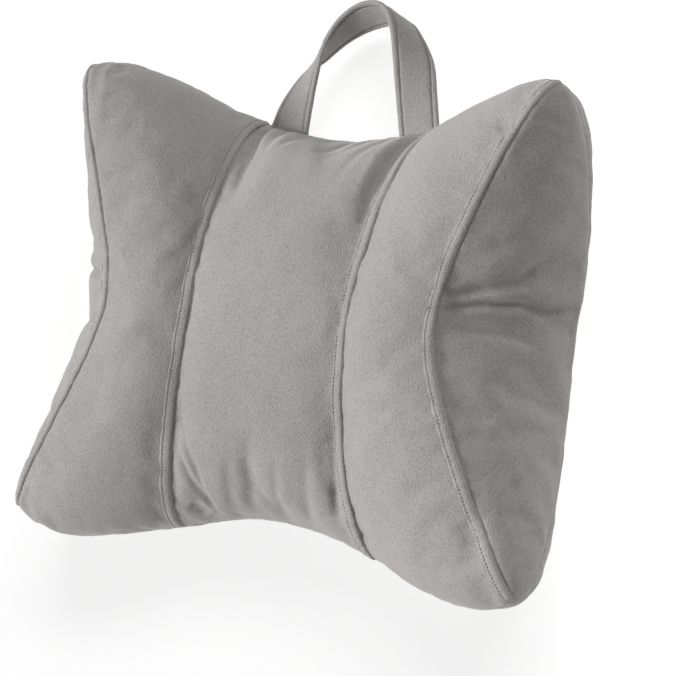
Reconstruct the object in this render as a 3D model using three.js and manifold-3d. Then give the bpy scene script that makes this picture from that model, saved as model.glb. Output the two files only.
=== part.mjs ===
// A filled back cushion, waisted on all four sides, with a carry strap sewn into its top seam.
// Three front panels and two pointed side gussets meet one back panel in a seam that runs right round.
// It lies on its back. Millimetres: X runs across it, Y up to the strap, Z out of its face.
// Z = 0 is the flat patch that it rests on, and the origin is in the middle of that patch.
import * as THREE from "three";
import { mergeVertices } from "three/addons/utils/BufferGeometryUtils.js";
import Module from "manifold-3d";

// The outline seam above and below the waist: its distance from the waist and its height off the floor
// at the middle, where an inner seam meets it, and at the corner tip.
const TOP = {
  side: 1,
  middleY: 168, middleZ: 34,
  innerX: 82, innerY: 180, innerZ: 22,
  tipX: 225, tipY: 220, tipZ: 100,
};
const BOTTOM = {
  side: -1,
  middleY: 171, middleZ: 34,
  innerX: 96, innerY: 188, innerZ: 27,
  tipX: 242, tipY: 209, tipZ: 78,
};

// Half widths and heights at the waist of the inner seams, the front edge seams and the back edge.
const WAIST = { innerX: 77, edgeX: 157, backX: 234, innerZ: 112, edgeZ: 123, backZ: 6 };
const EDGE_TILT = 23; // how much more the edge seams rise at the top than at the waist
const EDGE_EASE = 0.25; // how softly the front edge seams turn at the waist
const INNER_BEND = 2; // power of the inner seam's curve
const BACK_BEND = 1.4; // power of the back edge's curve
const BACK_RISE = 2.5; // power of the back edge's rise to the tips

// How each panel swells between its seams.
const MIDDLE_CROWN = { height: 12, squareness: 2.2 };
const WING_CROWN = 15;
const WING_TOP = { fullness: 9, reach: 0.95 }; // how far it bulges past the seam, and up to what share of its rise
const GUSSET_CROWN = 15;
const CROWN_BLUNTNESS = 0.8; // power of a wing's or gusset's crown
const FRONT_ROUND = { squareness: 2.2, bluntness: 1.8 };
const EDGE_ROUND = { squareness: 5, bluntness: 2.1 };
const GUSSET_ROUND = { squareness: 3, bluntness: 1.5 };
const CORNER = { cut: 11, power: 18 }; // how the outline turns at its tips

// The back wall, from the outline seam down to the flat patch.
const WALL_RINGS = 5;
const WALL_SWELL = 0.07; // how far it swells past the seam, as a share of the seam's height
const WALL_INSET = { least: 8, share: 1 }; // how far in the flat patch starts

// A flat-felled seam is a raised band on the left of each front seam line, up to a share of a narrow panel.
const BAND = { width: 9, slope: 1.2, height: 1.2, mostShare: 0.5 };
const RELIEF_FADE = 20; // power at which bands and folds fade out towards the outline seam

const ROWS = 54;
const MIDDLE_COLUMNS = 18;
const WING_COLUMNS = 9;
const GUSSET_COLUMNS = 12;

// Main folds: a soft trough (depth above zero) or ridge (below zero) along a path on the face.
const FOLDS = [
  { name: "trough, top left", width: 11, depth: 4, path: [[-79, 177, 31], [-60, 133, 83], [-57, 93, 104]] },
  { name: "roll, top left", width: 15, depth: -3, path: [[-50, 172, 38], [-36, 133, 88], [-34, 101, 106]] },
  { name: "trough, top right", width: 11, depth: 4, path: [[73, 172, 45], [74, 114, 98], [72, 61, 110]] },
  { name: "roll, top right", width: 15, depth: -3, path: [[52, 170, 42], [56, 136, 83], [53, 99, 104]] },
  { name: "dip, top middle", width: 13, depth: 2.5, path: [[18, 147, 77], [21, 127, 93]] },
  { name: "fold, foot left", width: 12, depth: 3.5, path: [[-70, -101, 102], [-63, -136, 88], [-60, -165, 63]] },
  { name: "trough, foot right", width: 11, depth: 4, path: [[70, -83, 108], [71, -122, 96], [71, -154, 76]] },
  { name: "rib, foot left", width: 12, depth: 2.5, path: [[-1, -112, 104], [-12, -160, 66]] },
  { name: "rib, foot right", width: 12, depth: 2.5, path: [[46, -112, 102], [40, -162, 64]] },
  { name: "right gusset, upper", width: 13, depth: 3, path: [[174, 30, 120], [205, 46, 89], [222, 60, 66]] },
  { name: "right gusset, lower", width: 13, depth: 4, path: [[172, 8, 117], [208, 16, 76], [234, 24, 19]] },
  { name: "left gusset, upper", width: 13, depth: 3.5, path: [[-172, 34, 118], [-222, 56, 60]] },
  { name: "left gusset, lower", width: 13, depth: 4, path: [[-172, -8, 116], [-226, -20, 44]] },
  { name: "dimple, right wing", width: 14, depth: 2.5, path: [[186, 166, 134], [194, 170, 132]] },
  { name: "dent, right foot", width: 14, depth: 2.5, path: [[203, -145, 107], [214, -163, 101]] },
];

// The strap: its near and far edges, station by station, from its left end round to its right end.
const STRAP_STATIONS = [
  { near: [-38, 168, 33], far: [-79, 172, 31] },
  { near: [-38, 198, 34], far: [-73, 202, 26] },
  { near: [-37, 230, 36], far: [-62, 226, 20] },
  { near: [-32, 262, 38], far: [-44, 243, 15] },
  { near: [-17, 284, 38], far: [-23, 265, 9] },
  { near: [1, 293, 38], far: [4, 279, 7] },
  { near: [16, 289, 38], far: [32, 280, 9] },
  { near: [27, 272, 38], far: [51, 265, 13] },
  { near: [35, 243, 37], far: [67, 243, 18] },
  { near: [43, 210, 35], far: [78, 214, 25] },
  { near: [54, 168, 33], far: [91, 172, 31] },
];
const STRAP_THICK = 4.6;
const STRAP_STEPS = 36;
const STRAP_REACH = 0.01; // how far to each side its direction is taken
const STRAP_EDGE = { width: 1, height: 0.4 }; // its rounded edge; the height is a share of half the thickness
const STITCH = { inset: 5, halfWidth: 1.1, depth: 0.9 };
const CLEARANCE = 0.3; // around the strap's ends in the seam
const TINY = 1e-4;
const MERGE_DISTANCE = 1e-3; // corners closer than this are one

const CLOTH_COLOUR = 0x9b9794;
const STRAP_COLOUR = 0x989491;

const wasm = await Module();
wasm.setup();

const mix = (a, b, f) => a + (b - a) * f;
const edgeOf = (v) => (v >= 0 ? TOP : BOTTOM);

// One at the waist (v = 0), falling to zero at the outline seam (v = -1 or 1).
const swell = (v, round) => Math.max(0, 1 - Math.abs(v) ** round.squareness) ** (1 / round.bluntness);

// One in the middle of a panel, zero at its two seams.
const crown = (f) => (4 * f * (1 - f)) ** CROWN_BLUNTNESS;

// A smooth line along half of the outline seam, level in the middle, through the inner seam's end to the tip.
function alongSeam(middle, inner, tip, x, edge) {
  const q = Math.abs(x) / edge.tipX;
  const qInner = edge.innerX / edge.tipX;
  const square = (inner - middle) / qInner ** 2;
  const cube = (tip - middle - square) / (1 - qInner);
  return middle + (square - cube * qInner) * q ** 2 + cube * q ** 3;
}

// How much the outline's corners are cut back, from nothing at the waist (t = 0) to all of it at a tip (t = 1).
const cornerCut = (t) => CORNER.cut * t ** CORNER.power;

const seamY = (x, edge) =>
  alongSeam(edge.middleY, edge.innerY, edge.tipY, x, edge) - cornerCut(Math.abs(x) / edge.tipX);

const seamZ = (x, edge) => alongSeam(edge.middleZ, edge.innerZ, edge.tipZ, x, edge);

// Half width of the inner seams, the front edge seams and the back edge along the height.
const innerX = (v) => mix(WAIST.innerX, edgeOf(v).innerX, Math.abs(v) ** INNER_BEND);
const eased = (v) => (Math.hypot(v, EDGE_EASE) - EDGE_EASE) / (Math.hypot(1, EDGE_EASE) - EDGE_EASE);
const edgeX = (v) => mix(WAIST.edgeX, edgeOf(v).tipX, eased(v));

function backX(v) {
  const height = Math.abs(v);
  return mix(WAIST.backX, edgeOf(v).tipX + CORNER.cut, height ** BACK_BEND) - cornerCut(height);
}

// A point of the middle panel: f runs from 0 at its left seam to 1 at its right seam.
function middlePoint(f, v) {
  const edge = edgeOf(v);
  const u = 2 * f - 1;
  const atSeam = u * edge.innerX;
  const low = seamZ(atSeam, edge);
  const high = WAIST.innerZ + MIDDLE_CROWN.height * (1 - Math.abs(u) ** MIDDLE_CROWN.squareness);
  return new THREE.Vector3(u * innerX(v), v * seamY(atSeam, edge), mix(low, high, swell(v, FRONT_ROUND)));
}

// A point of a wing: f runs from 0 at its inner seam to 1 at its edge seam.
function wingPoint(f, v, side) {
  const edge = edgeOf(v);
  const atSeam = mix(edge.innerX, edge.tipX, f);
  const low = seamZ(atSeam, edge);
  const high = mix(WAIST.innerZ, WAIST.edgeZ, f) + WING_CROWN * crown(f);
  const rise = mix(swell(v, FRONT_ROUND), swell(v, EDGE_ROUND), f);
  const bulge = WING_TOP.fullness * Math.sin(Math.PI * Math.min(rise / WING_TOP.reach, 1)) * 4 * f * (1 - f);
  const x = mix(innerX(v), edgeX(v), f);
  const y = v * seamY(atSeam, edge) + edge.side * bulge;
  return new THREE.Vector3(side * x, y, mix(low, high, rise) + EDGE_TILT * f * v * rise);
}

// A point of a gusset: f runs from 0 at the front edge seam to 1 at the back edge.
function gussetPoint(f, v, side) {
  const edge = edgeOf(v);
  const front = wingPoint(1, v, 1);
  const backZ = mix(edge.tipZ, WAIST.backZ, 1 - Math.abs(v) ** BACK_RISE);
  const back = new THREE.Vector3(backX(v), front.y, backZ);
  const across = back.clone().sub(front);
  const out = new THREE.Vector3(-across.z, 0, across.x).divideScalar(Math.max(across.length(), TINY));
  const point = front.lerp(back, f).addScaledVector(out, GUSSET_CROWN * crown(f) * swell(v, GUSSET_ROUND));
  return new THREE.Vector3(side * point.x, point.y, point.z);
}

// Stops across a panel from its left, closing on a raised band along its right seam where it has one.
function stops(columns, panelWidth, banded) {
  const even = Array.from({ length: columns + 1 }, (_, i) => ({ f: i / columns, raised: 0 }));
  if (!banded) return even;
  const share = Math.min(BAND.width / Math.max(panelWidth, TINY), BAND.mostShare);
  const slope = (share * BAND.slope) / BAND.width;
  const plain = even.map((stop) => ({ f: stop.f * (1 - share), raised: 0 }));
  const band = [
    { f: 1 - share + slope, raised: 1 },
    { f: 1 - slope, raised: 1 },
    { f: 1, raised: 0 },
  ];
  return [...plain, ...band];
}

const pointsAt = (row, pointOf) => row.map(({ f, raised }) => ({ point: pointOf(f), raised }));

// The rows lie closer together towards the outline seam, where the surface turns most.
const rowHeights = Array.from({ length: ROWS + 1 }, (_, i) => Math.sin((Math.PI / 2) * ((2 * i) / ROWS - 1)));

// One row of the front, from the left edge seam to the right edge seam.
function frontRow(v) {
  const wingWidth = edgeX(v) - innerX(v);
  const wingStops = stops(WING_COLUMNS, wingWidth, true);
  const left = pointsAt(wingStops, (f) => wingPoint(1 - f, v, -1));
  const middle = pointsAt(stops(MIDDLE_COLUMNS, 2 * innerX(v), true), (f) => middlePoint(f, v));
  const right = pointsAt(wingStops, (f) => wingPoint(f, v, 1));
  return [...left, ...middle.slice(1), ...right.slice(1)];
}

// One row of a gusset, from its left seam to its right seam as the front is seen.
function gussetRow(v, side) {
  const panelWidth = gussetPoint(0, v, 1).distanceTo(gussetPoint(1, v, 1));
  if (side > 0) return pointsAt(stops(GUSSET_COLUMNS, panelWidth, false), (f) => gussetPoint(f, v, 1));
  return pointsAt(stops(GUSSET_COLUMNS, panelWidth, true), (f) => gussetPoint(1 - f, v, -1));
}

// The face normal of a grid at one of its points, from the neighbours on each side.
function gridNormal(grid, row, column) {
  const last = grid[row].length - 1;
  const left = grid[row][Math.max(column - 1, 0)].point;
  const right = grid[row][Math.min(column + 1, last)].point;
  const below = grid[row - 1][column].point;
  const above = grid[row + 1][column].point;
  const across = right.clone().sub(left);
  return across.cross(above.clone().sub(below)).normalize();
}

// How far a point is from a path of straight pieces.
function distanceToPath(point, path) {
  const nearest = new THREE.Vector3();
  const distances = path.slice(1).map((end, i) => {
    const piece = new THREE.Line3(new THREE.Vector3(...path[i]), new THREE.Vector3(...end));
    return piece.closestPointToPoint(point, true, nearest).distanceTo(point);
  });
  return Math.min(...distances);
}

// How deep the folds are at a point.
function foldDepth(point) {
  const depthOf = (fold) => fold.depth * Math.exp(-((distanceToPath(point, fold.path) / fold.width) ** 2));
  return FOLDS.reduce((sum, fold) => sum + depthOf(fold), 0);
}

// Moves a grid's points out at the felled seams and in at the folds. The outline seam stays where it is.
function relief(grid) {
  return grid.map((row, i) =>
    row.map(({ point, raised }, j) => {
      if (i === 0 || i === ROWS) return point;
      const fade = 1 - Math.abs(rowHeights[i]) ** RELIEF_FADE;
      const normal = gridNormal(grid, i, j);
      return point.clone().addScaledVector(normal, fade * (BAND.height * raised - foldDepth(point)));
    }),
  );
}

// The back wall: rings of points from the outline seam, swelling out and then turning under to the floor.
function wallRings(outline) {
  const count = outline.length;
  return Array.from({ length: WALL_RINGS + 1 }, (_, ring) => {
    const turn = ring / WALL_RINGS;
    return outline.map((point, i) => {
      const [before, after] = [outline[(i + count - 1) % count], outline[(i + 1) % count]];
      const along = after.clone().sub(before).setZ(0).normalize();
      const out = new THREE.Vector3(-along.y, along.x, 0);
      const inward = new THREE.Vector3(-point.x, -point.y, 0).normalize();
      const inset = (WALL_INSET.least + WALL_INSET.share * point.z) * (1 - Math.cos((Math.PI / 2) * turn));
      const puff = WALL_SWELL * point.z * Math.sin(Math.PI * turn) * (1 - turn / 2);
      const moved = point.clone().addScaledVector(out, puff).addScaledVector(inward, inset);
      return moved.setZ(point.z * (1 - Math.sin((Math.PI / 2) * turn)));
    });
  });
}

// Collects triangles as loose corners; doubled corners are merged afterwards.
class Skin {
  constructor() {
    this.corners = [];
  }
  triangle(a, b, c) {
    if (Math.min(a.distanceTo(b), b.distanceTo(c), c.distanceTo(a)) < TINY) return;
    this.corners.push(...a, ...b, ...c);
  }
  quad(a, b, c, d) {
    this.triangle(a, b, c);
    this.triangle(a, c, d);
  }
  grid(rows) {
    for (let i = 0; i + 1 < rows.length; i++) {
      for (let j = 0; j + 1 < rows[i].length; j++) {
        this.quad(rows[i][j], rows[i][j + 1], rows[i + 1][j + 1], rows[i + 1][j]);
      }
    }
  }
  // Flat triangles, facing down, inside a closed ring of points at one height.
  floor(ring) {
    const flat = ring.map((point) => new THREE.Vector2(point.x, point.y));
    for (const [a, b, c] of THREE.ShapeUtils.triangulateShape(flat, [])) {
      const turn = flat[b].clone().sub(flat[a]).cross(flat[c].clone().sub(flat[a]));
      if (turn > 0) this.triangle(ring[c], ring[b], ring[a]);
      else this.triangle(ring[a], ring[b], ring[c]);
    }
  }
  geometry() {
    const loose = new THREE.BufferGeometry();
    loose.setAttribute("position", new THREE.Float32BufferAttribute(this.corners, 3));
    return mergeVertices(loose, MERGE_DISTANCE);
  }
}

// The whole filled cushion as one closed skin.
function cushionGeometry() {
  const front = relief(rowHeights.map(frontRow));
  const left = relief(rowHeights.map((v) => gussetRow(v, -1)));
  const right = relief(rowHeights.map((v) => gussetRow(v, 1)));
  // Where two grids share a seam, the front's points hold.
  front.forEach((row, i) => {
    left[i][left[i].length - 1] = row[0];
    right[i][0] = row[row.length - 1];
  });
  const outline = [
    ...front[ROWS],
    ...right.map((row) => row[row.length - 1]).reverse().slice(1, -1),
    ...front[0].slice().reverse(),
    ...left.map((row) => row[0]).slice(1, -1),
  ];
  const rings = wallRings(outline);
  const skin = new Skin();
  skin.grid(front);
  skin.grid(left);
  skin.grid(right);
  skin.grid(rings.map((ring) => [...ring, ring[0]]));
  skin.floor(rings[WALL_RINGS]);
  return skin.geometry();
}

// The strap's section with its two stitched channels: each point's place along the width and its height off it.
function strapSection(width, spare) {
  const half = STRAP_THICK / 2 + spare;
  const channel = half - (spare ? 0 : STITCH.depth);
  const side = [
    [-spare, half * STRAP_EDGE.height],
    [STRAP_EDGE.width - spare, half],
    [STITCH.inset - STITCH.halfWidth, half],
    [STITCH.inset, channel],
    [STITCH.inset + STITCH.halfWidth, half],
  ];
  const upper = [...side, ...side.map(([s, h]) => [width - s, h]).reverse()];
  return [...upper, ...upper.map(([s, h]) => [s, -h]).reverse()];
}

const strapEdge = (points) => new THREE.CatmullRomCurve3(points, false, "catmullrom");
const nearEdge = strapEdge(STRAP_STATIONS.map((station) => new THREE.Vector3(...station.near)));
const farEdge = strapEdge(STRAP_STATIONS.map((station) => new THREE.Vector3(...station.far)));
const strapMiddle = (t) => nearEdge.getPoint(t).lerp(farEdge.getPoint(t), 0.5);

// The strap's section in place, from t = 0 at its left end to t = 1 at its right end.
function strapRing(t, spare) {
  const across = farEdge.getPoint(t).sub(nearEdge.getPoint(t));
  const width = across.length();
  across.normalize();
  const [before, after] = [Math.max(t - STRAP_REACH, 0), Math.min(t + STRAP_REACH, 1)];
  const along = strapMiddle(after).sub(strapMiddle(before)).normalize();
  const off = across.clone().cross(along).normalize();
  const pastEnd = { 0: -spare, 1: spare }[t] ?? 0;
  const start = nearEdge.getPoint(t).addScaledVector(along, pastEnd);
  const place = ([s, h]) => start.clone().addScaledVector(across, s).addScaledVector(off, h);
  return strapSection(width, spare).map(place);
}

// Closes one end of the strap with a strip of faces between its upper and lower side.
function closeEnd(skin, ring, atStart) {
  const last = ring.length - 1;
  for (let k = 0; k + 1 < ring.length / 2; k++) {
    const corners = [ring[k], ring[k + 1], ring[last - 1 - k], ring[last - k]];
    skin.quad(...(atStart ? corners.reverse() : corners));
  }
}

// The strap's skin. With spare above zero it is the space that its sewn ends need.
function strapGeometry(spare) {
  const rings = Array.from({ length: STRAP_STEPS + 1 }, (_, i) => strapRing(i / STRAP_STEPS, spare));
  const skin = new Skin();
  skin.grid(rings.map((ring) => [...ring, ring[0]]));
  closeEnd(skin, rings[0], true);
  closeEnd(skin, rings[STRAP_STEPS], false);
  return skin.geometry();
}

// A closed geometry as a solid that can be cut.
function solidOf(geometry) {
  const vertProperties = new Float32Array(geometry.attributes.position.array);
  const triVerts = new Uint32Array(geometry.index.array);
  return new wasm.Manifold(new wasm.Mesh({ numProp: 3, vertProperties, triVerts }));
}

function geometryOf(solid) {
  const mesh = solid.getMesh();
  const geometry = new THREE.BufferGeometry();
  geometry.setAttribute("position", new THREE.BufferAttribute(mesh.vertProperties, 3));
  geometry.setIndex(new THREE.BufferAttribute(mesh.triVerts, 1));
  return geometry;
}

function cushionBody() {
  const cushion = solidOf(cushionGeometry());
  const pockets = solidOf(strapGeometry(CLEARANCE));
  const mesh = new THREE.Mesh(
    geometryOf(cushion.subtract(pockets)),
    new THREE.MeshStandardMaterial({ color: CLOTH_COLOUR, roughness: 0.95, metalness: 0 }),
  );
  mesh.name = "cushion_body";
  return mesh;
}

function carryHandle() {
  const mesh = new THREE.Mesh(
    strapGeometry(0),
    new THREE.MeshStandardMaterial({ color: STRAP_COLOUR, roughness: 0.95, metalness: 0 }),
  );
  mesh.name = "carry_handle";
  return mesh;
}

const cushion = new THREE.Group();
cushion.add(cushionBody(), carryHandle());

export default cushion;
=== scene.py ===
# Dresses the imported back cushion: a filled velvet cover with felled seams, and its stitched carry strap.
# Lengths in the tables are in millimetres where nothing else is said, in the part's own frame:
# X across, Y up to the strap, Z out of the face.
import math

import bmesh
import bpy
import numpy as np
from mathutils import Matrix, Vector, noise
from mathutils.bvhtree import BVHTree
from mathutils.kdtree import KDTree


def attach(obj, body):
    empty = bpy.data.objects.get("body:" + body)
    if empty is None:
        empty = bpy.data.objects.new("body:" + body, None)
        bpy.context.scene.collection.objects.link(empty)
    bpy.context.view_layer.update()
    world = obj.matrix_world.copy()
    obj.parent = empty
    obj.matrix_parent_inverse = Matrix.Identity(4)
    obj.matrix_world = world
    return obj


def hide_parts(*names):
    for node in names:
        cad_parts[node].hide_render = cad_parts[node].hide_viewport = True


bl_info = {
    "name": "Waisted Back Cushion",
    "version": (1, 0, 0),
    "blender": (4, 5, 0),
    "location": "View3D > Sidebar > Cushion",
    "description": "Dresses a waisted back cushion in velvet with felled seams and a carry strap",
    "category": "Object",
}

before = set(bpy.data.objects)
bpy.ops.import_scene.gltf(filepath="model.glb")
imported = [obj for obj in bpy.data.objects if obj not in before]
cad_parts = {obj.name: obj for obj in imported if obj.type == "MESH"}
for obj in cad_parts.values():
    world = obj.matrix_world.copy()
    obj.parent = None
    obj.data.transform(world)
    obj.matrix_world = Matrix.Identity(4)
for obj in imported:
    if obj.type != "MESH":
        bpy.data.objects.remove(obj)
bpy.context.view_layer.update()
MM = 0.001

# The seams, as the part's source has them: above and below the waist, and at the waist.
TOP = {
    "side": 1, "middleY": 168, "middleZ": 34, "innerX": 82, "innerY": 180, "innerZ": 22,
    "tipX": 225, "tipY": 220, "tipZ": 100,
}
BOTTOM = {
    "side": -1, "middleY": 171, "middleZ": 34, "innerX": 96, "innerY": 188, "innerZ": 27,
    "tipX": 242, "tipY": 209, "tipZ": 78,
}
WAIST = {"innerX": 77, "edgeX": 157, "backX": 234, "innerZ": 112, "edgeZ": 123, "backZ": 6}
EDGE_TILT = 23
EDGE_EASE = 0.25
INNER_BEND = 2
BACK_BEND = 1.4
BACK_RISE = 2.5
CORNER_CUT = 11
CORNER_POWER = 18
FRONT_ROUND = (2.2, 1.8)
EDGE_ROUND = (5, 2.1)

# Stops on each seam before they are spaced out evenly, and the steps of the even paths, in metres.
SEAM_STOPS = 600
OUTLINE_STOPS = 240
SEAM_STEP = 0.001
CREASE_STEP = 0.006

# The cover's making: what counts as one point, how near a seam it is held (as a share of the mesh step),
# how near the floor it is held, in metres, and the number of frames that fill it.
COVER_MERGE = 1e-5
HELD_BY_SEAM = 0.7
HELD_BY_FLOOR = 0.002
FILLING_FRAMES = 20
TINY = 1e-9

# Sharp creases (depth above zero) and rolls (below zero) pressed into the cover after it is filled.
# Each has its depth at the start of its path and fades evenly to another at the path's end.
CREASES = {
    "top left": {
        "width": 5, "depth": 3, "fades_to": 1.4, "path": [(-76, 168, 50), (-66, 141, 77), (-60, 97, 103)]},
    "top left roll": {
        "width": 5, "depth": -1.6, "fades_to": -0.6, "path": [(-64, 168, 44), (-55, 140, 79), (-50, 108, 99)]},
    "top left, second": {
        "width": 4, "depth": 2, "fades_to": 0.5, "path": [(-52, 168, 43), (-47, 140, 79)]},
    "top left, third": {
        "width": 4, "depth": 2.2, "fades_to": 0.6, "path": [(-30, 166, 46), (-37, 142, 78)]},
    "top middle": {
        "width": 3.5, "depth": 2.2, "fades_to": 0.6, "path": [(18, 162, 56), (-4, 140, 82)]},
    "top middle roll": {
        "width": 4, "depth": -1.2, "fades_to": -0.4, "path": [(30, 162, 56), (9, 137, 84)]},
    "top right, third": {
        "width": 5, "depth": 2.2, "fades_to": 0.5, "path": [(57, 166, 50), (45, 152, 69), (34, 119, 97)]},
    "top right roll": {
        "width": 5, "depth": -1.8, "fades_to": -0.8, "path": [(66, 166, 50), (57, 142, 76), (54, 104, 99)]},
    "top right": {
        "width": 5, "depth": 3.4, "fades_to": 1.6,
        "path": [(75, 170, 46), (68, 145, 72), (67, 110, 96), (68, 79, 105)]},
    "foot left, upper": {
        "width": 4, "depth": 0.6, "fades_to": 3, "path": [(-74, -98, 102), (-60, -136, 88), (-55, -167, 60)]},
    "foot left, lower": {
        "width": 4, "depth": 1.2, "fades_to": 3, "path": [(-76, -124, 93), (-64, -152, 76), (-54, -174, 50)]},
    "foot left roll": {
        "width": 6, "depth": -1, "fades_to": -1.8, "path": [(-72, -113, 97), (-61, -144, 82), (-53, -171, 57)]},
    "foot left pocket": {
        "width": 8, "depth": 3, "fades_to": 3, "path": [(-80, -160, 52), (-66, -170, 42)]},
    "foot rib 1": {
        "width": 6, "depth": 0.6, "fades_to": 1.6, "path": [(-22, -118, 102), (-34, -166, 60)]},
    "foot rib 2": {
        "width": 6, "depth": 0.7, "fades_to": 1.8, "path": [(-1, -108, 105), (-14, -164, 60)]},
    "foot rib 3": {
        "width": 5, "depth": 0.5, "fades_to": 1.5, "path": [(24, -114, 101), (14, -165, 58)]},
    "foot rib 4": {
        "width": 6, "depth": 0.7, "fades_to": 1.8, "path": [(52, -109, 102), (43, -168, 57)]},
    "foot right": {
        "width": 4, "depth": 0.6, "fades_to": 2.8, "path": [(74, -83, 106), (74, -122, 94), (73, -156, 74)]},
    "foot right, wing": {
        "width": 5, "depth": 0.8, "fades_to": 2.2, "path": [(90, -141, 87), (97, -176, 56)]},
    "gusset, upper": {
        "width": 6, "depth": 4.6, "fades_to": 2,
        "path": [(166, 26, 123), (190, 40, 103), (206, 48, 87), (222, 72, 69)]},
    "gusset, middle": {
        "width": 4.5, "depth": 4.6, "fades_to": 3.4,
        "path": [(166, 15, 121), (190, 28, 100), (206, 33, 80), (221, 31, 56), (234, 40, 19)]},
    "gusset roll": {
        "width": 6, "depth": -0.8, "fades_to": -1.6, "path": [(180, 26, 113), (203, 41, 86), (222, 48, 60)]},
    "gusset, lower": {
        "width": 5, "depth": 2.8, "fades_to": 1.6, "path": [(172, 4, 118), (207, 6, 74), (217, 1, 57)]},
    "gusset dimple": {
        "width": 12, "depth": 1.6, "fades_to": 1.6, "path": [(224, -110, 84), (228, -116, 78)]},
    "left gusset": {
        "width": 4, "depth": 3, "fades_to": 1.8, "path": [(-166, 14, 121), (-200, 24, 90), (-232, 36, 22)]},
    "wing dimple": {
        "width": 13, "depth": 1.6, "fades_to": 1.6, "path": [(186, 166, 134), (196, 171, 131)]},
    "foot dent": {
        "width": 11, "depth": 2, "fades_to": 2, "path": [(204, -143, 107), (217, -163, 101)]},
    "left wing top": {
        "width": 12, "depth": 1.4, "fades_to": 1.4, "path": [(-203, 209, 101), (-188, 198, 109)]},
}
# A crease has only a share of its depth at its two ends, and all of it from this share of its path inwards.
CREASE_END_DEPTH = 0.4
CREASE_END_LENGTH = 0.2
# The mesh is halved this near, in metres, to each crease that is no wider than this.
FINER_REACH = 0.009
FINER_WIDTH = 6

# The groove along each seam. The gathers beside it are waves along the seam that drift, so no two are alike.
# Lengths along a seam are in points of its path, 1 mm apart on the front seams. Reaches are in metres.
GROOVE = {"depth": 1.3, "width": 1.5}
GATHER_WAVES = [
    {"share": 1, "length": 2.9, "shift": 1.3, "drift": 1.7, "drift_length": 23.0},
    {"share": 0.7, "length": 5.3, "shift": 2.1, "drift": 1.9, "drift_length": 41.0},
]
GATHER_STRENGTH = {"mean": 0.45, "swing": 0.55, "length": 34.0}
GATHER_SHARE = 0.6
GATHER_REACH = 0.011
GATHER_CLEARANCE = 0.002

# Unevenness of the filling, and the height above the floor, in metres, over which every detail fades in.
LUMPS = [{"height": 0.9, "scale": 22}, {"height": 0.35, "scale": 70}]
FADE_IN_HEIGHT = 0.012

# The felled seams, and where small cross puckers lie along each, as shares of its length from its foot.
SEAMS = [
    {"kind": "inner", "side": -1, "puckers": (0.93,)},
    {"kind": "inner", "side": 1, "puckers": (0.06,)},
    {"kind": "edge", "side": -1, "puckers": (0.3, 0.56)},
    {"kind": "edge", "side": 1, "puckers": (0.12, 0.21, 0.52, 0.67)},
]
# The raised edge of a felled seam, from its crease to its stitched side: place left of the seam, and height.
BAND_SECTION = [
    (-0.9, -1.4), (-0.4, -0.3), (0.0, 0.8), (0.6, 1.6), (1.6, 1.9), (3.4, 1.7), (5.2, 1.35), (6.4, 0.95),
    (7.0, 0.6), (7.4, 0.4), (7.8, 0.6), (8.4, 0.65), (9.0, 0.4), (9.6, 0.0), (10.2, -0.9),
]
BAND_STITCH = 7.4
BAND_PUCKER = {"depth": 0.5, "width": 2.2, "roll": 0.5, "roll_at": 2}
BAND_DIMPLE = {"depth": 0.35, "width": 0.9}
BAND_RIPPLE = {"height": 0.25, "scale": 160}
# The edge sinks to this height over this many rows at each end. The other two are numbers of rows each way:
# how far off the way along a seam is measured, and over how many rows small jumps are evened out.
BAND_END_HEIGHT = -1.2
BAND_END_ROWS = 8
BAND_LOOK_ROWS = 3
EASING_ROWS = 12

# Stitches: rows of mesh to each, rows left bare at both ends of a seam and of the strap, the thread's length
# as a share of the stitch, its half width and half height, and how far its middle lies above the cloth.
ROWS_PER_STITCH = 4
SEAM_BARE_ROWS = 10
STRAP_BARE_ROWS = 8
THREAD_SHARE = 0.72
THREAD_HALF_WIDTH = 0.42
THREAD_HALF_HEIGHT = 0.36
SEAM_THREAD_LIFT = 0.6
STRAP_THREAD_LIFT = 0.12

# The strap's near and far edges, station by station, from its left end round to its right end.
STRAP_STATIONS = [
    {"near": (-38, 168, 33), "far": (-79, 172, 31)},
    {"near": (-38, 198, 34), "far": (-73, 202, 26)},
    {"near": (-37, 230, 36), "far": (-62, 226, 20)},
    {"near": (-32, 262, 38), "far": (-44, 243, 15)},
    {"near": (-17, 284, 38), "far": (-23, 265, 9)},
    {"near": (1, 293, 38), "far": (4, 279, 7)},
    {"near": (16, 289, 38), "far": (32, 280, 9)},
    {"near": (27, 272, 38), "far": (51, 265, 13)},
    {"near": (35, 243, 37), "far": (67, 243, 18)},
    {"near": (43, 210, 35), "far": (78, 214, 25)},
    {"near": (54, 168, 33), "far": (91, 172, 31)},
]
# Places across the strap from each edge in to its middle, closest at the rounded edge and the stitching.
STRAP_SPOTS = (0, 0.15, 0.5, 1.1, 1.9, 2.8, 3.6, 4.2, 4.6, 5.0, 5.4, 5.8, 6.5, 8, 10.5, 13.5)
# Stops along the strap before they are spaced out evenly, and how far off the way along it is measured.
STRAP_STOPS = 800
STRAP_LOOK = 0.01
STRAP_MERGE = 1e-6
# Its rounded edges, its stitched channels with their dimples, its fullness and the unevenness of its cloth.
STRAP_ROUNDING = 2.2
STRAP_CHANNEL = {"depth": 1.3, "width": 0.8, "even": 0.8, "dimpled": 0.2}
STRAP_FULLNESS = 0.2
STRAP_WANDER = {"height": 0.5, "scale": 9, "slice": 4}
STRAP_CLOTH = {"height": 0.4, "scale": 90}
# Wrinkles on the inside of its bend: where and how far along it, how far in from the stitching, and how fine.
BEND_WRINKLE = {"height": 1.4, "at": 0.5, "spread": 0.14, "fade_in": 3, "along": 60, "across": 50, "slice": 7}

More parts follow.
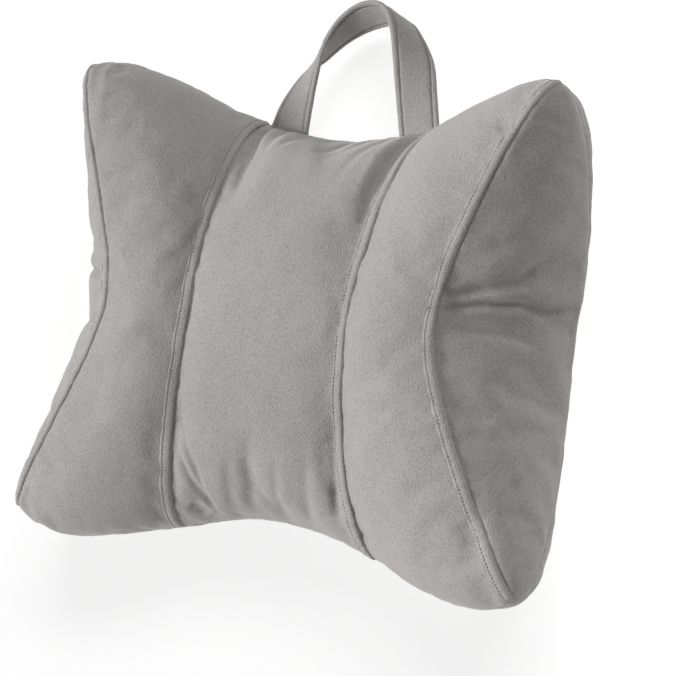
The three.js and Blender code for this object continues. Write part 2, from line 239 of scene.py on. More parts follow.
# Velvet: the size of each pattern, and its weight in the colour and in the relief.
CLOUDS = {"scale": 6, "detail": 2, "twist": 0.3, "tone": 0.8}
BRUSHED = {"scale": 30, "detail": 2, "twist": 0.5, "tone": 0.15}
GRAIN = {"scale": 760, "tone": -0.8, "relief": -0.8}
FIBRE = {"scale": 1200, "detail": 0, "twist": 0.0, "tone": 0.9, "relief": 0.5}
SLANT = {"Rotation": (0.2, 0.3, math.radians(38)), "Scale": (1, 0.7, 1)}
VELVET_BUMP = {"Strength": 0.6, "Distance": 0.0006}
VELVET_LOOK = {
    "Roughness": 0.92,
    "Specular IOR Level": 0.15,
    "Sheen Weight": 0.45,
    "Sheen Roughness": 0.35,
    "Sheen Tint": (0.8, 0.77, 0.75, 1),
}
# Each velvet's colour as a share of the pile colours. The felled seam bands are painted lighter than the cover:
# a painted highlight that offsets the shade on their sloping folds. The strap is a little darker.
VELVET_TONES_WITH_PAINTED_LIGHT = {"cover_velvet": 1.0, "seam_velvet_painted_light": 1.05, "strap_velvet": 0.96}
# Thread: the size of its pattern, and its darkest and lightest as shares of its colour.
TWIST = {"scale": 900, "detail": 2, "twist": 0.0}
THREAD_SHADES = (0.7, 1.2)

# The studio: a pale floor just under the cushion, in metres, and three suns that shine from these directions,
# with their spreads in degrees.
FLOOR_HALF_SIZE = 6
FLOOR_Z = -0.0003
FLOOR_LOOK = {
    "Base Color": (0.8, 0.8, 0.796, 1),
    "Roughness": 0.9,
    "Emission Color": (1, 1, 1, 1),
    "Emission Strength": 0.7,
}
SUNS = {
    "key_light": {"from": (-0.72, -0.30, 0.78), "spread": 22, "strength": 3.4},
    "top_light": {"from": (-0.02, 0.80, 0.60), "spread": 30, "strength": 0.6},
    "side_light": {"from": (0.45, 0.78, 0.44), "spread": 26, "strength": 0.6},
}
SUN_DISTANCE = 2
AIR_LOOK = {"Color": (1, 1, 1, 1), "Strength": 0.2}

# The camera: its turns in degrees, its place along its own axes, and its lens in pixels of the photograph.
CAMERA_TURNS = [("Z", -9.56), ("X", -5.4), ("Y", -28.04)]
CAMERA_PLACE = (8, -3.4, 1680)
PHOTO_WIDTH = 679
FOCAL_LENGTH = 1900
SENSOR_WIDTH = 36


class CushionSizes(bpy.types.PropertyGroup):
    voxel: bpy.props.FloatProperty(
        name="Cover Mesh Step", description="Size of the cover's mesh before it is filled",
        default=0.0045, unit="LENGTH")
    pressure: bpy.props.FloatProperty(
        name="Filling Pressure", description="How hard the filling pushes the cover out",
        default=4.0, min=0.0)
    slack: bpy.props.FloatProperty(
        name="Cloth Slack", description="Share by which the cover is cut larger than its form",
        default=0.02, min=0.0)
    most_swell: bpy.props.FloatProperty(
        name="Most Swell", description="Furthest that filling moves the cover",
        default=0.005, unit="LENGTH")
    crease_share: bpy.props.FloatProperty(
        name="Crease Share", description="How deep the creases are, as a share of their table",
        default=1.4, min=0.0)
    pucker: bpy.props.FloatProperty(
        name="Seam Pucker", description="Depth of the small gathers along the seams",
        default=0.0009, unit="LENGTH")
    stitch_pitch: bpy.props.FloatProperty(
        name="Stitch Pitch", description="Distance from one stitch to the next",
        default=0.003, unit="LENGTH")
    strap_thickness: bpy.props.FloatProperty(
        name="Strap Thickness", description="Thickness of the folded strap",
        default=0.0046, unit="LENGTH")
    strap_stitch_inset: bpy.props.FloatProperty(
        name="Strap Stitch Inset", description="From the strap's edge to its stitching",
        default=0.005, unit="LENGTH")


class CushionColours(bpy.types.PropertyGroup):
    light: bpy.props.FloatVectorProperty(
        name="Pile, Light", description="Velvet where the pile lies towards the light",
        subtype="COLOR", default=(0.416, 0.399, 0.390))
    dark: bpy.props.FloatVectorProperty(
        name="Pile, Dark", description="Velvet where the pile lies away from the light",
        subtype="COLOR", default=(0.26, 0.248, 0.242))
    thread: bpy.props.FloatVectorProperty(
        name="Thread", description="Sewing thread",
        subtype="COLOR", default=(0.25, 0.235, 0.225))


def mix(a, b, f):
    return a + (b - a) * f


def hump(distance, width):
    """One at no distance, and next to nothing from twice the width."""
    return np.exp(-((distance / width) ** 2))


def edge_of(v):
    return TOP if v >= 0 else BOTTOM


def swell(v, shape):
    return max(0.0, 1 - abs(v) ** shape[0]) ** (1 / shape[1])


def along_seam(letter, x, edge):
    """The Y or Z of the top or bottom seam: a curve, level at its middle, through its inner points and tips."""
    middle, inner, tip = edge["middle" + letter], edge["inner" + letter], edge["tip" + letter]
    q = abs(x) / edge["tipX"]
    q_inner = edge["innerX"] / edge["tipX"]
    square = (inner - middle) / q_inner**2
    cube = (tip - middle - square) / (1 - q_inner)
    return middle + (square - cube * q_inner) * q**2 + cube * q**3


def corner_cut(t):
    return CORNER_CUT * t**CORNER_POWER


def seam_y(x, edge):
    return along_seam("Y", x, edge) - corner_cut(abs(x) / edge["tipX"])


def front_seam(kind, side, v):
    """A point of an inner or edge seam, from v = -1 at the bottom to v = 1 at the top."""
    edge = edge_of(v)
    if kind == "inner":
        x = mix(WAIST["innerX"], edge["innerX"], abs(v) ** INNER_BEND)
        at, high, shape, tilt = edge["innerX"], WAIST["innerZ"], FRONT_ROUND, 0
    else:
        eased = (math.hypot(v, EDGE_EASE) - EDGE_EASE) / (math.hypot(1, EDGE_EASE) - EDGE_EASE)
        x = mix(WAIST["edgeX"], edge["tipX"], eased)
        at, high, shape, tilt = edge["tipX"], WAIST["edgeZ"], EDGE_ROUND, EDGE_TILT
    rise = swell(v, shape)
    z = mix(along_seam("Z", at, edge), high, rise) + tilt * v * rise
    return Vector((side * x, v * seam_y(at, edge), z)) * MM


def outline_seam():
    """Points right round the seam between the front and the back panel."""
    points = []
    for edge in (TOP, BOTTOM):
        for k in range(OUTLINE_STOPS + 1):
            x = edge["side"] * mix(-1, 1, k / OUTLINE_STOPS) * edge["tipX"]
            points.append(Vector((x, edge["side"] * seam_y(x, edge), along_seam("Z", x, edge))) * MM)
        for k in range(1, OUTLINE_STOPS):
            v = edge["side"] * mix(1, -1, k / OUTLINE_STOPS)
            end = edge_of(v)
            x = mix(WAIST["backX"], end["tipX"] + CORNER_CUT, abs(v) ** BACK_BEND) - corner_cut(abs(v))
            z = mix(end["tipZ"], WAIST["backZ"], 1 - abs(v) ** BACK_RISE)
            points.append(Vector((edge["side"] * x, v * seam_y(end["tipX"], end), z)) * MM)
    return points


def even_path(points, step):
    """Points a step apart along a path."""
    runs = [0.0]
    for a, b in zip(points, points[1:]):
        runs.append(runs[-1] + (b - a).length)
    count = max(2, round(runs[-1] / step))
    at = np.linspace(0, runs[-1], count + 1)
    return [Vector(p) for p in zip(*(np.interp(at, runs, [p[k] for p in points]) for k in range(3)))]


def seam_path(seam, step):
    """Even points along an inner or edge seam, from its foot up."""
    vs = [math.sin(math.pi / 2 * mix(-1, 1, k / SEAM_STOPS)) for k in range(SEAM_STOPS + 1)]
    return even_path([front_seam(seam["kind"], seam["side"], v) for v in vs], step)


def shade_smooth(mesh):
    mesh.polygons.foreach_set("use_smooth", [True] * len(mesh.polygons))


def new_piece(name, mesh, material):
    piece = bpy.data.objects.new(name, mesh)
    bpy.context.scene.collection.objects.link(piece)
    mesh.materials.clear()
    mesh.materials.append(material)
    shade_smooth(mesh)
    return piece


def at_vertices(mesh, key):
    """The vertices' places ("co") or normals ("normal"), one row for each."""
    flat = np.empty(len(mesh.vertices) * 3)
    mesh.vertices.foreach_get(key, flat)
    return flat.reshape(-1, 3)


def place(mesh, points):
    mesh.vertices.foreach_set("co", points.ravel())
    mesh.update()


def evaluated_mesh(piece):
    graph = bpy.context.evaluated_depsgraph_get()
    return bpy.data.meshes.new_from_object(piece.evaluated_get(graph))


def apply_modifiers(piece):
    piece.data = evaluated_mesh(piece)
    piece.modifiers.clear()


def add_smoothing(piece, name, rounds):
    smooth = piece.modifiers.new(name, "SMOOTH")
    smooth.factor = 0.5
    smooth.iterations = rounds


def mesh_of(form, name):
    mesh = bpy.data.meshes.new(name)
    form.to_mesh(mesh)
    form.free()
    return mesh


def new_grid(columns, rows):
    """A grid of points, row by row, each of which is then put in its place."""
    grid = bmesh.new()
    bmesh.ops.create_grid(grid, x_segments=columns - 1, y_segments=rows - 1, size=0.5)
    grid.verts.ensure_lookup_table()
    return grid


def surface_of(cover):
    mesh = cover.data
    return BVHTree.FromPolygons([v.co for v in mesh.vertices], [p.vertices for p in mesh.polygons])


def nearest_on(path, points):
    """For each point the distance to a dense path, and the number of the path's nearest point."""
    tree = KDTree(len(path))
    for index, point in enumerate(path):
        tree.insert(point, index)
    tree.balance()
    found = [tree.find(point) for point in points]
    return np.array([f[2] for f in found]), np.array([f[1] for f in found], float)


def laid_path(surface, crease):
    """A crease's path, laid on the cover."""
    path = [Vector(p) * MM for p in crease["path"]]
    return [surface.find_nearest(point)[0] for point in even_path(path, CREASE_STEP)]


def nearest_on_crease(points, path):
    """For each point the distance to a crease's path, and the share of the path at which it is nearest."""
    best, along = np.full(len(points), np.inf), np.zeros(len(points))
    for number, (a, b) in enumerate(zip(path, path[1:])):
        start, run = np.array(a), np.array(b - a)
        share = np.clip((points - start) @ run / (run @ run), 0, 1)
        away = np.linalg.norm(points - start - share[:, None] * run, axis=1)
        along = np.where(away < best, (number + share) / (len(path) - 1), along)
        best = np.minimum(best, away)
    return best, along


def remeshed_cover(voxel):
    """The cushion's solid with an even mesh, smooth enough to fill."""
    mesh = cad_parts["cushion_body"].data.copy()
    form = bmesh.new()
    form.from_mesh(mesh)
    bmesh.ops.remove_doubles(form, verts=form.verts, dist=COVER_MERGE)
    form.to_mesh(mesh)
    form.free()
    cover = new_piece("cushion_cover", mesh, velvet("cover_velvet"))
    remesh = cover.modifiers.new("even mesh", "REMESH")
    remesh.mode = "VOXEL"
    remesh.voxel_size = voxel
    add_smoothing(cover, "ease facets", 6)
    apply_modifiers(cover)
    return cover


def fill_cover(cover, sizes):
    """Blows the cover up against its seams, which hold it, and keeps the swell within its limit."""
    before = at_vertices(cover.data, "co")
    held = cover.vertex_groups.new(name="held")
    outline, _ = nearest_on(outline_seam(), before)
    front = [nearest_on(seam_path(seam, SEAM_STEP), before)[0] for seam in SEAMS]
    near_seam = np.minimum(outline, np.minimum.reduce(front)) < HELD_BY_SEAM * sizes.voxel
    fixed = np.flatnonzero(near_seam | (before[:, 2] < HELD_BY_FLOOR))
    held.add([int(i) for i in fixed], 1.0, "REPLACE")
    cloth = cover.modifiers.new("filling", "CLOTH")
    cloth.settings.quality = 4
    cloth.settings.mass = 0.3
    cloth.settings.tension_stiffness = 15
    cloth.settings.compression_stiffness = 15
    cloth.settings.bending_stiffness = 0.3
    cloth.settings.use_pressure = True
    cloth.settings.uniform_pressure_force = sizes.pressure
    cloth.settings.shrink_min = -sizes.slack
    cloth.settings.vertex_group_mass = "held"
    cloth.settings.effector_weights.gravity = 0
    cloth.collision_settings.use_collision = False
    for number in range(1, FILLING_FRAMES + 1):
        bpy.context.scene.frame_set(number)
    filled = evaluated_mesh(cover)
    move = at_vertices(filled, "co") - before
    length = np.linalg.norm(move, axis=1, keepdims=True)
    move *= np.minimum(1, sizes.most_swell / np.maximum(length, TINY))
    cover.modifiers.clear()
    cover.vertex_groups.clear()
    bpy.data.meshes.remove(filled)
    place(cover.data, before + move)
    add_smoothing(cover, "ease wrinkles", 3)
    apply_modifiers(cover)
    bpy.context.scene.frame_set(1)


def refine_at_creases(cover):
    """Halves the mesh where a narrow crease is to be pressed in."""
    points, surface = at_vertices(cover.data, "co"), surface_of(cover)
    paths = [laid_path(surface, crease) for crease in CREASES.values() if crease["width"] <= FINER_WIDTH]
    near = np.minimum.reduce([nearest_on_crease(points, path)[0] for path in paths]) < FINER_REACH
    form = bmesh.new()
    form.from_mesh(cover.data)
    edges = [e for e in form.edges if near[e.verts[0].index] and near[e.verts[1].index]]
    bmesh.ops.subdivide_edges(form, edges=edges, cuts=1, use_grid_fill=True)
    form.to_mesh(cover.data)
    form.free()


def crease_depth(crease, points, surface, sizes):
    """How far each point sinks into a crease."""
    away, along = nearest_on_crease(points, laid_path(surface, crease))
    inwards = np.clip(np.minimum(along, 1 - along) / CREASE_END_LENGTH, 0, 1)
    taper = mix(CREASE_END_DEPTH, 1, inwards)
    depth = sizes.crease_share * MM * taper * mix(crease["depth"], crease["fades_to"], along)
    return depth * hump(away, crease["width"] * MM)


def gathers(number, away, along, sizes):
    """How far each point rises in the gathers along a seam."""
    waves = np.zeros(len(away))
    for wave in GATHER_WAVES:
        drift = wave["drift"] * np.sin(along / wave["drift_length"])
        waves += wave["share"] * np.sin(along / wave["length"] + wave["shift"] * number + drift)
    look = GATHER_STRENGTH
    strength = look["mean"] + look["swing"] * np.sin(along / look["length"] + number)
    near = np.exp(-away / GATHER_REACH) * (away / (away + GATHER_CLEARANCE))
    return sizes.pucker * GATHER_SHARE * waves * strength * near


def press_details(cover, sizes):
    """Sinks seams and creases into the filled cover and gathers it along the seams."""
    points, out = at_vertices(cover.data, "co"), at_vertices(cover.data, "normal")
    surface = surface_of(cover)
    lift = np.zeros(len(points))
    for crease in CREASES.values():
        lift -= crease_depth(crease, points, surface, sizes)
    paths = [seam_path(seam, SEAM_STEP) for seam in SEAMS] + [outline_seam()]
    for number, path in enumerate(paths):
        away, along = nearest_on(path, points)
        lift -= GROOVE["depth"] * MM * hump(away, GROOVE["width"] * MM)
        lift += gathers(number, away, along, sizes)
    for index, point in enumerate(points):
        spot = Vector(point)
        lift[index] += sum(lump["height"] * MM * noise.noise(spot * lump["scale"]) for lump in LUMPS)
    fade_in = np.clip(points[:, 2] / FADE_IN_HEIGHT, 0, 1)
    points = points + out * (lift * fade_in)[:, None]
    points[:, 2] = np.maximum(points[:, 2], 0)
    place(cover.data, points)


def eased_along(rows):
    """Evens out small jumps from row to row, over fewer rows near the two ends."""
    sums = np.concatenate([np.zeros((1, *rows.shape[1:])), np.cumsum(rows, axis=0)])
    eased = np.empty_like(rows)
    for index in range(len(rows)):
        span = min(EASING_ROWS, index, len(rows) - 1 - index)
        eased[index] = (sums[index + span + 1] - sums[index - span]) / (2 * span + 1)
    return eased


def band_rows(surface, path):
    """For each stop on a seam: its place on the cover, the way out of the cover and the way to the left."""
    rows = []
    found = [surface.find_nearest(point) for point in path]
    places = eased_along(np.array([f[0] for f in found]))
    outs = eased_along(np.array([f[1] for f in found]))
    for index in range(len(path)):
        on, out = Vector(places[index]), Vector(outs[index]).normalized()
        ahead = path[min(index + BAND_LOOK_ROWS, len(path) - 1)]
        along = (ahead - path[max(index - BAND_LOOK_ROWS, 0)]).normalized()
        left = out.cross(along).normalized()
        if left.dot(along.cross(Vector((0, 0, 1)))) > 0:
            left.negate()
        rows.append((on, out, left))
    return rows


def band_pucker(row, rows, step, puckers):
    """How far a row of the band is pressed in by the puckers, each with a small roll on both its sides."""
    look = BAND_PUCKER
    away = [(row - share * (rows - 1)) * step / (look["width"] * MM) for share in puckers]
    return look["depth"] * sum(hump(a, 1) - look["roll"] * hump(abs(a) - look["roll_at"], 1) for a in away)


def felled_band(surface, path, pitch, puckers):
    """A grid along a seam that follows the cover, raised at its fold and dimpled at each stitch."""
    columns = len(BAND_SECTION)
    band = new_grid(columns, len(path))
    rows = band_rows(surface, path)
    step = (path[1] - path[0]).length
    bases = [
        [surface.find_nearest(on + left * across * MM)[0] for across, _ in BAND_SECTION]
        for on, _, left in rows
    ]
    bases = eased_along(np.array(bases))
    for row, (on, out, left) in enumerate(rows):
        ends = min(1, row / BAND_END_ROWS, (len(rows) - 1 - row) / BAND_END_ROWS)
        pucker = band_pucker(row, len(rows), step, puckers)
        ripple = BAND_RIPPLE["height"] * noise.noise(on * BAND_RIPPLE["scale"])
        at_stitch = BAND_DIMPLE["depth"] * math.cos(math.tau * row * step / pitch)
        for column, (across, height) in enumerate(BAND_SECTION):
            dimple = at_stitch * hump(across - BAND_STITCH, BAND_DIMPLE["width"])
            rise = mix(BAND_END_HEIGHT, height + dimple + ripple - pucker, ends) if height > 0 else height
            band.verts[row * columns + column].co = Vector(bases[row, column]) + out * rise * MM
    bmesh.ops.recalc_face_normals(band, faces=band.faces)
    middle = band.faces[:][len(band.faces) // 2]
    if middle.normal.dot(rows[len(rows) // 2][1]) < 0:
        bmesh.ops.reverse_faces(band, faces=band.faces)
    return band, rows


def add_stitch(thread, at, along, out, pitch):
    """One stitch: a small thick-and-thin bead of thread, half sunk in the cloth."""
    turn = Matrix((along, out.cross(along).normalized(), out)).transposed().to_4x4()
    halves = (pitch * THREAD_SHARE / 2, THREAD_HALF_WIDTH * MM, THREAD_HALF_HEIGHT * MM, 1)
    matrix = Matrix.Translation(at) @ turn @ Matrix.Diagonal(halves)
    bmesh.ops.create_icosphere(thread, subdivisions=1, radius=1.0, matrix=matrix)


def strap_curve(key, t):
    """A point of the strap's near or far edge, on a smooth curve through its stations."""
    points = [Vector(s[key]) * MM for s in STRAP_STATIONS]
    at = t * (len(points) - 1)
    k = min(int(at), len(points) - 2)
    f = at - k
    b, c = points[k], points[k + 1]
    a = points[k - 1] if k > 0 else b * 2 - c
    d = points[k + 2] if k + 2 < len(points) else c * 2 - b
    return 0.5 * (2 * b + (c - a) * f + (2 * a - 5 * b + 4 * c - d) * f**2 + (3 * b - a - 3 * c + d) * f**3)


def strap_frame(t):
    """The strap at t: its near edge, the way across, its width, the way along and the way out of it."""
    near, far = strap_curve("near", t), strap_curve("far", t)
    ahead, behind = min(t + STRAP_LOOK, 1), max(t - STRAP_LOOK, 0)
    along = strap_curve("near", ahead) + strap_curve("far", ahead)
    along = (along - (strap_curve("near", behind) + strap_curve("far", behind))).normalized()
    across = far - near
    return near, across.normalized(), across.length, along, across.cross(along).normalized()


def even_strap_stops(step):
    """Values of t that lie a step apart along the strap's middle, and the middle's length."""
    ts = np.linspace(0, 1, STRAP_STOPS + 1)
    middle = [(strap_curve("near", t) + strap_curve("far", t)) / 2 for t in ts]
    runs = np.concatenate([[0], np.cumsum([(b - a).length for a, b in zip(middle, middle[1:])])])
    count = round(runs[-1] / step)
    return np.interp(np.linspace(0, runs[-1], count + 1), runs, ts), runs[-1]


def strap_turns(width):
    """Places right round the strap's section, each with its face: 1 is the upper one, -1 the lower one."""
    there = [s * MM for s in STRAP_SPOTS] + [width - s * MM for s in reversed(STRAP_SPOTS)]
    return [(s, 1) for s in there] + [(s, -1) for s in reversed(there[:-1])]


def strap_height(across, width, phase, sizes):
    """Half the strap's thickness at a place across it: round edges, and a stitched channel by each edge."""
    look = STRAP_CHANNEL
    from_edge = min(across, width - across)
    edge = math.sqrt(max(0.0, 1 - (1 - min(from_edge / (STRAP_ROUNDING * MM), 1)) ** 2))
    channel = look["depth"] * MM * hump(from_edge - sizes.strap_stitch_inset, look["width"] * MM)
    channel *= look["even"] + look["dimpled"] * math.cos(phase)
    full = STRAP_FULLNESS * MM * math.sin(math.pi * across / width)
    return (sizes.strap_thickness / 2 + full) * edge - channel * edge


def bend_wrinkle(t, across, width, inset):
    """Small wrinkles between the stitching, on the inside of the strap's bend where its cloth is squeezed."""
    look = BEND_WRINKLE
    inside = max(0.0, min(1.0, (min(across, width - across) - inset) / (look["fade_in"] * MM)))
    near_top = hump(t - look["at"], look["spread"])
    spot = Vector((t * look["along"], across * look["across"], look["slice"]))
    return look["height"] * MM * inside * near_top * noise.noise(spot)


def strap_forms(sizes):
    """The strap's cloth, its four rows of stitches, and its length between its sewn ends."""
    pitch, inset = sizes.stitch_pitch, sizes.strap_stitch_inset
    stops, length = even_strap_stops(pitch / ROWS_PER_STITCH)
    columns = 4 * len(STRAP_SPOTS) - 1
    strap, thread = new_grid(columns, len(stops)), bmesh.new()
    for row, t in enumerate(stops):
        near, across, width, along, out = strap_frame(t)
        phase = math.tau * row / ROWS_PER_STITCH
        drift = Vector((t * STRAP_WANDER["scale"], 0, STRAP_WANDER["slice"]))
        wander = STRAP_WANDER["height"] * MM * noise.noise(drift)
        for column, (place_across, face) in enumerate(strap_turns(width)):
            height = face * strap_height(place_across, width, phase, sizes)
            if face < 0:
                height += bend_wrinkle(t, place_across, width, inset)
            spot = near + across * place_across + out * (height + wander)
            uneven = out * STRAP_CLOTH["height"] * MM * noise.noise(spot * STRAP_CLOTH["scale"])
            strap.verts[row * columns + column].co = spot + uneven
        mid_stitch = row % ROWS_PER_STITCH == ROWS_PER_STITCH // 2
        if mid_stitch and STRAP_BARE_ROWS < row < len(stops) - STRAP_BARE_ROWS:
            for at in (inset, width - inset):
                for face in (1, -1):
                    lift = strap_height(at, width, phase, sizes) + STRAP_THREAD_LIFT * MM
                    spot = near + across * at + out * (face * lift + wander)
                    add_stitch(thread, spot, along, out * face, pitch)
    bmesh.ops.remove_doubles(strap, verts=strap.verts, dist=STRAP_MERGE)
    bmesh.ops.holes_fill(strap, edges=[e for e in strap.edges if e.is_boundary])
    bmesh.ops.recalc_face_normals(strap, faces=strap.faces)
    return strap, thread, length


def new_material(name):
    """A material, its nodes and its surface node."""
    material = bpy.data.materials.new(name)
    material.use_nodes = True
    return material, material.node_tree, material.node_tree.nodes["Principled BSDF"]


def add_node(tree, kind, **settings):
    node = tree.nodes.new(kind)
    for key, setting in settings.items():
        setattr(node, key, setting)
    return node


def set_inputs(node, look):
    for key, setting in look.items():
        node.inputs[key].default_value = setting


def cloudy(tree, place_socket, pattern):
    """A soft noise pattern over the places given."""
    cloud = add_node(tree, "ShaderNodeTexNoise")
    look = {"Scale": pattern["scale"], "Detail": pattern["detail"], "Distortion": pattern["twist"]}
    set_inputs(cloud, look)
    tree.links.new(place_socket, cloud.inputs["Vector"])
    return cloud.outputs["Fac"]


def weighed(tree, parts):
    """Adds patterns, each less its middle value and times its weight, to one half."""
    total = None
    for socket, weight in parts:
        step = add_node(tree, "ShaderNodeMath", operation="MULTIPLY_ADD")
        tree.links.new(socket, step.inputs[0])
        step.inputs[1].default_value = weight
        step.inputs[2].default_value = 0.5 - weight / 2 if total is None else 0
        if total is not None:
            shift = add_node(tree, "ShaderNodeMath", operation="SUBTRACT")
            tree.links.new(total, shift.inputs[0])
            shift.inputs[1].default_value = weight / 2
            tree.links.new(shift.outputs[0], step.inputs[2])
        total = step.outputs[0]
    return total


def link_colour(tree, surface, blend_by, colour_a, colour_b):
    """Colours a surface from one colour to another, by a pattern."""
    blend = add_node(tree, "ShaderNodeMix", data_type="RGBA")
    set_inputs(blend, {"A": (*colour_a, 1), "B": (*colour_b, 1)})
    tree.links.new(blend_by, blend.inputs["Factor"])
    tree.links.new(blend.outputs["Result"], surface.inputs["Base Color"])


def velvet(name):
    """Short velvet pile: cloudy where it lies differently, with a fine slanting grain."""
    colours, shade = bpy.context.scene.cushion_colours, VELVET_TONES_WITH_PAINTED_LIGHT[name]
    material, tree, cloth = new_material(name)
    where = add_node(tree, "ShaderNodeTexCoord").outputs["Object"]
    slant = add_node(tree, "ShaderNodeMapping")
    set_inputs(slant, SLANT)
    tree.links.new(where, slant.inputs["Vector"])
    pebbles = add_node(tree, "ShaderNodeTexVoronoi")
    pebbles.inputs["Scale"].default_value = GRAIN["scale"]
    tree.links.new(slant.outputs["Vector"], pebbles.inputs["Vector"])
    grain = pebbles.outputs["Distance"]
    fibre = cloudy(tree, where, FIBRE)
    brushed = cloudy(tree, slant.outputs["Vector"], BRUSHED)
    clouds = cloudy(tree, where, CLOUDS)
    patterns = [(clouds, CLOUDS), (brushed, BRUSHED), (grain, GRAIN), (fibre, FIBRE)]
    tone = weighed(tree, [(socket, pattern["tone"]) for socket, pattern in patterns])
    # The pile colours are scaled by this velvet's share, which adds painted light on the seam bands.
    link_colour(tree, cloth, tone, [c * shade for c in colours.dark], [c * shade for c in colours.light])
    relief = weighed(tree, [(grain, GRAIN["relief"]), (fibre, FIBRE["relief"])])
    bump = add_node(tree, "ShaderNodeBump")
    set_inputs(bump, VELVET_BUMP)
    tree.links.new(relief, bump.inputs["Height"])
    tree.links.new(bump.outputs["Normal"], cloth.inputs["Normal"])
    set_inputs(cloth, VELVET_LOOK)
    return material


def thread_material():
    """Twisted thread: darker than the pile, with a little shine."""
    material, tree, thread = new_material("sewing_thread")
    where = add_node(tree, "ShaderNodeTexCoord").outputs["Object"]
    colour = bpy.context.scene.cushion_colours.thread
    darkest, lightest = ([c * shade for c in colour] for shade in THREAD_SHADES)
    link_colour(tree, thread, cloudy(tree, where, TWIST), darkest, lightest)
    thread.inputs["Roughness"].default_value = 0.6
    return material


class CUSHION_OT_cover(bpy.types.Operator):
    """Makes the filled velvet cover from the cushion's solid"""

    bl_idname = "cushion.cover"
    bl_label = "Fill the Cover"

    def execute(self, context):
        sizes = context.scene.cushion_sizes
        cover = remeshed_cover(sizes.voxel)
        fill_cover(cover, sizes)
        finer = cover.modifiers.new("finer mesh", "SUBSURF")
        finer.levels = finer.render_levels = 1
        apply_modifiers(cover)
        refine_at_creases(cover)
        press_details(cover, sizes)
        shade_smooth(cover.data)
        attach(cover, "root")
        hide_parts("cushion_body")
        return {"FINISHED"}


class CUSHION_OT_felled_seams(bpy.types.Operator):
    """Lays the felled seams' folded edges along the cover and topstitches them"""

    bl_idname = "cushion.felled_seams"
    bl_label = "Fell the Seams"

    def execute(self, context):
        pitch = context.scene.cushion_sizes.stitch_pitch
        surface = surface_of(bpy.data.objects["cushion_cover"])
        # The bands' velvet carries painted light: it is a lighter copy of the cover's velvet.
        cloth, thread_look = velvet("seam_velvet_painted_light"), thread_material()
        thread = bmesh.new()
        for seam in SEAMS:
            name = f"felled_seam_{seam['kind']}_{'left' if seam['side'] < 0 else 'right'}"
            path = seam_path(seam, pitch / ROWS_PER_STITCH)
            band, rows = felled_band(surface, path, pitch, seam["puckers"])
            for row in range(SEAM_BARE_ROWS, len(rows) - SEAM_BARE_ROWS, ROWS_PER_STITCH):
                on, out, left = rows[row]
                along = (rows[row + 2][0] - rows[row - 2][0]).normalized()
                base = surface.find_nearest(on + left * BAND_STITCH * MM)[0]
                add_stitch(thread, base + out * SEAM_THREAD_LIFT * MM, along, out, pitch)
            piece = new_piece(name, mesh_of(band, name), cloth)
            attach(piece, "root")
        stitches = new_piece("seam_stitches", mesh_of(thread, "seam_stitches"), thread_look)
        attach(stitches, "root")
        return {"FINISHED"}


class CUSHION_OT_carry_strap(bpy.types.Operator):
    """Makes the folded strap and its two rows of topstitching on each face"""

    bl_idname = "cushion.carry_strap"
    bl_label = "Make the Carry Strap"

    def execute(self, context):
        strap, thread, length = strap_forms(context.scene.cushion_sizes)
        thread_look = bpy.data.materials["sewing_thread"]
        piece = new_piece("carry_strap", mesh_of(strap, "carry_strap"), velvet("strap_velvet"))
        stitches = new_piece("strap_stitches", mesh_of(thread, "strap_stitches"), thread_look)
        for made in (piece, stitches):
            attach(made, "root")
        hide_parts("carry_handle")
        return {"FINISHED"}


class CUSHION_OT_studio(bpy.types.Operator):
    """Sets the pale floor, the soft lights and the camera"""

    bl_idname = "cushion.studio"
    bl_label = "Set the Studio"

    def execute(self, context):
        floor = bmesh.new()
        bmesh.ops.create_grid(floor, x_segments=1, y_segments=1, size=FLOOR_HALF_SIZE)
        bmesh.ops.translate(floor, vec=(0, 0, FLOOR_Z), verts=floor.verts)
        paper, _, surface = new_material("pale_paper")
        set_inputs(surface, FLOOR_LOOK)
        ground = new_piece("studio_floor", mesh_of(floor, "studio_floor"), paper)
        lamps = {name: add_sun(name, sun) for name, sun in SUNS.items()}
        leave_unlit(lamps["key_light"], ground)
        world = bpy.data.worlds.new("studio_air")
        world.use_nodes = True
        set_inputs(world.node_tree.nodes["Background"], AIR_LOOK)
        context.scene.world = world
        context.scene.view_settings.view_transform = "Standard"
        place_camera(context.scene)
        return {"FINISHED"}


def add_sun(name, sun):
    """A wide soft light from one direction, the same over the whole floor."""
    light = bpy.data.lights.new(name, "SUN")
    light.angle = math.radians(sun["spread"])
    light.energy = sun["strength"]
    lamp = bpy.data.objects.new(name, light)
    lamp.location = Vector(sun["from"]) * SUN_DISTANCE
    lamp.rotation_euler = (-Vector(sun["from"])).to_track_quat("-Z", "Y").to_euler()
    bpy.context.scene.collection.objects.link(lamp)
    return lamp


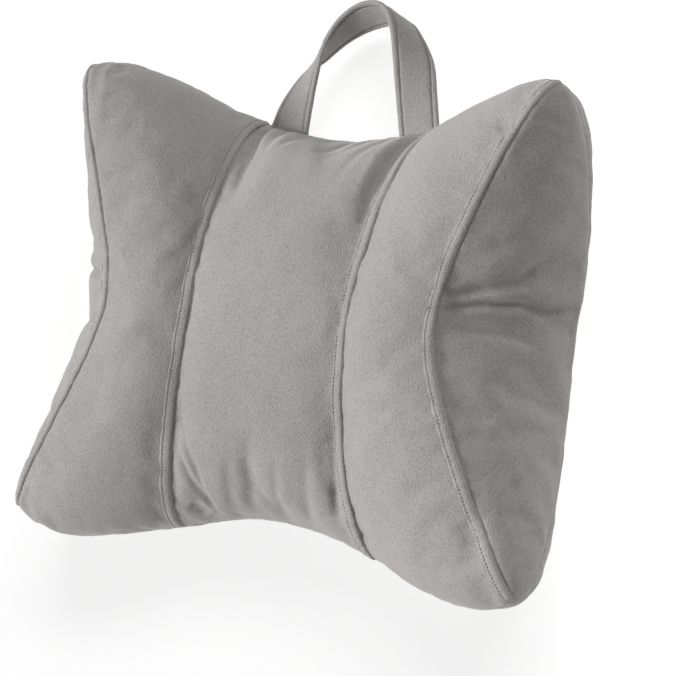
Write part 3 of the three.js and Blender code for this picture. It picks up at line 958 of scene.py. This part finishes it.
def leave_unlit(lamp, ground):
    """Keeps one light, and so its hard shadow, off the floor."""
    group = bpy.data.collections.new("not lit by the key light")
    group.objects.link(ground)
    group.collection_objects[0].light_linking.link_state = "EXCLUDE"
    lamp.light_linking.receiver_collection = group


def place_camera(scene):
    """Looks at the face from its lower right, turned as the photograph is."""
    lens = bpy.data.cameras.new("camera")
    lens.sensor_width = SENSOR_WIDTH
    lens.lens = SENSOR_WIDTH * FOCAL_LENGTH / PHOTO_WIDTH
    camera = bpy.data.objects.new("camera", lens)
    roll, pitch, yaw = (Matrix.Rotation(math.radians(angle), 3, axis) for axis, angle in CAMERA_TURNS)
    turn = (roll @ pitch @ yaw).transposed()
    camera.matrix_world = Matrix.Translation(turn @ Vector(CAMERA_PLACE) * MM) @ turn.to_4x4()
    scene.collection.objects.link(camera)
    scene.camera = camera


class CUSHION_PT_panel(bpy.types.Panel):
    """Lists the cushion's sizes, colours and steps"""

    bl_idname = "CUSHION_PT_panel"
    bl_label = "Back Cushion"
    bl_space_type = "VIEW_3D"
    bl_region_type = "UI"
    bl_category = "Cushion"

    def draw(self, context):
        for group in (context.scene.cushion_sizes, context.scene.cushion_colours):
            for key in group.__annotations__:
                self.layout.prop(group, key)
        for step in OPERATORS:
            self.layout.operator(step.bl_idname)


OPERATORS = (CUSHION_OT_studio, CUSHION_OT_cover, CUSHION_OT_felled_seams, CUSHION_OT_carry_strap)
CLASSES = (CushionSizes, CushionColours, *OPERATORS, CUSHION_PT_panel)


def register():
    for made in CLASSES:
        bpy.utils.register_class(made)
    bpy.types.Scene.cushion_sizes = bpy.props.PointerProperty(type=CushionSizes)
    bpy.types.Scene.cushion_colours = bpy.props.PointerProperty(type=CushionColours)


def unregister():
    del bpy.types.Scene.cushion_colours
    del bpy.types.Scene.cushion_sizes
    for made in reversed(CLASSES):
        bpy.utils.unregister_class(made)


def main():
    register()
    bpy.ops.cushion.studio()
    bpy.ops.cushion.cover()
    bpy.ops.cushion.felled_seams()
    bpy.ops.cushion.carry_strap()


if __name__ == "__main__":
    main()
